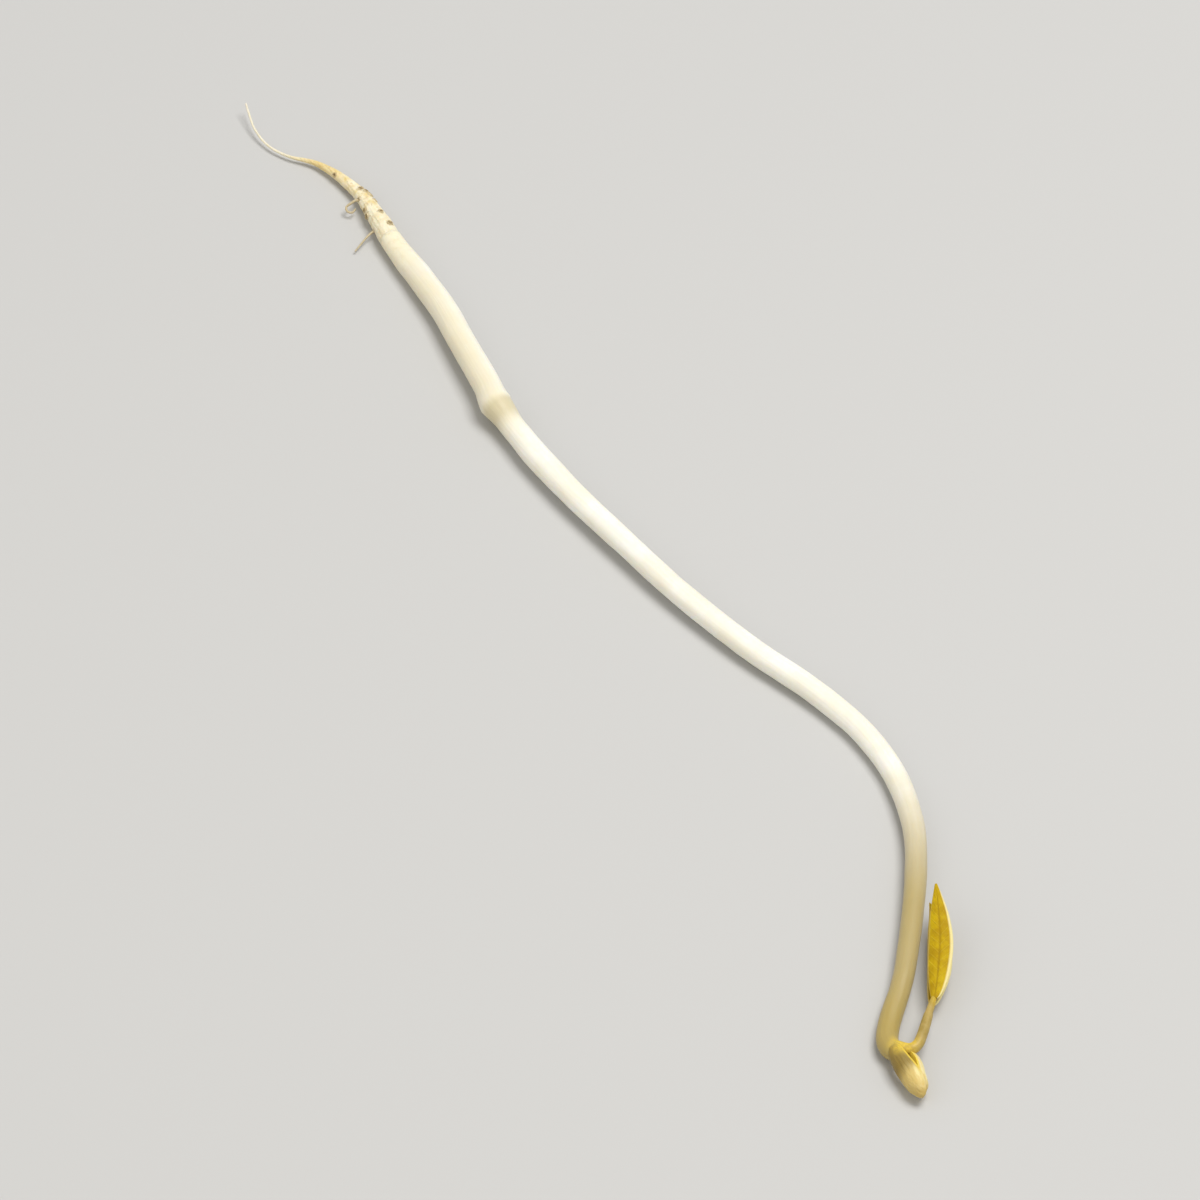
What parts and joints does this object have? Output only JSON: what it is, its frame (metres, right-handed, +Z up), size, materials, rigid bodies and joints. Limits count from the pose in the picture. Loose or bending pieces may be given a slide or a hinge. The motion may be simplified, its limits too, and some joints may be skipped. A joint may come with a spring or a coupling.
{
  "type": "mung bean sprout",
  "caption": "Long white bean sprout lying on a surface: taproot with a thread tip, thick curved stem, hooked head with seed leaves, and narrow yellow leaves.",
  "frame": {"origin": "middle of the sprout's footprint, on the surface that it lies on", "axes": "+Z up from the surface, +X from the root towards the leaves, +Y towards the outer side of the stem's bend"},
  "size_m": [0.1522, 0.0193, 0.0041],
  "materials": {
    "stem_white": "satin",
    "root_tan": "matte",
    "seed_leaf_cream": "satin",
    "shoot_pale_yellow": "satin",
    "leaf_yellow": "satin"
  },
  "bodies": {
    "root": {"root": "root_tan", "hypocotyl": "stem_white", "cotyledon_right": "seed_leaf_cream", "cotyledon_left": "seed_leaf_cream", "epicotyl": "shoot_pale_yellow", "leaf_near": "leaf_yellow", "leaf_far": "leaf_yellow"}
  },
  "joints": []
}
